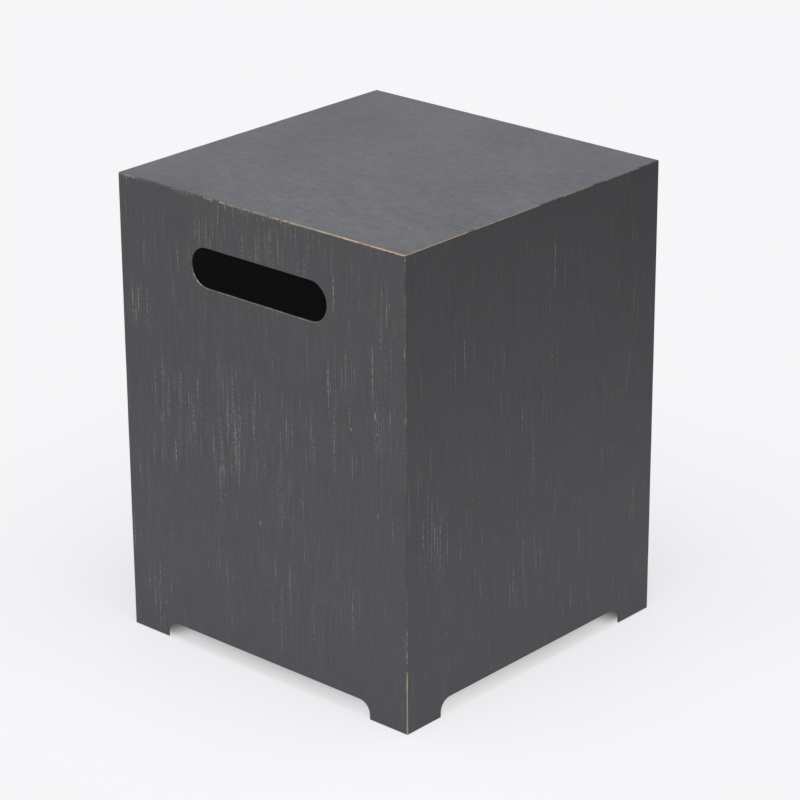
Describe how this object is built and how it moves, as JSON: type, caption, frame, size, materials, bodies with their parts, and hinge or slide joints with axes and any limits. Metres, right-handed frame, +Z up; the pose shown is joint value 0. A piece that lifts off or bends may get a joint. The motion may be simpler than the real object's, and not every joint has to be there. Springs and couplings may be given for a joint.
{
  "type": "propane tank holder",
  "caption": "Square sheet-steel holder that stands over a propane tank, open below, with a hand slot and corner feet; its flat top serves as a side table.",
  "frame": {"origin": "on the floor, at the middle of the footprint", "axes": "+Z up, the slotted front face towards -Y, +X to the right as seen from the front"},
  "size_m": [0.4, 0.4, 0.52],
  "materials": {
    "distressed_paint": "dark grey paint brushed over a bronze base coat, worn through along the edges, satin",
    "grey_primer": "matt grey primer on the inner frame",
    "nylon": "black moulded nylon",
    "weld": "weld beads under matt grey primer"
  },
  "bodies": {
    "root": {"top_panel": "distressed_paint", "front_panel": "distressed_paint", "back_panel": "distressed_paint", "left_panel": "distressed_paint", "right_panel": "distressed_paint", "upright_front_left": "grey_primer", "upright_front_right": "grey_primer", "upright_back_right": "grey_primer", "upright_back_left": "grey_primer", "top_bar_front": "grey_primer", "top_bar_right": "grey_primer", "top_bar_back": "grey_primer", "top_bar_left": "grey_primer", "top_brace": "grey_primer", "foot_plate_front_left": "grey_primer", "foot_plate_front_right": "grey_primer", "foot_plate_back_right": "grey_primer", "foot_plate_back_left": "grey_primer", "glide_front_left": "nylon", "glide_front_right": "nylon", "glide_back_right": "nylon", "glide_back_left": "nylon", "weld_stitches": "weld"}
  },
  "joints": []
}
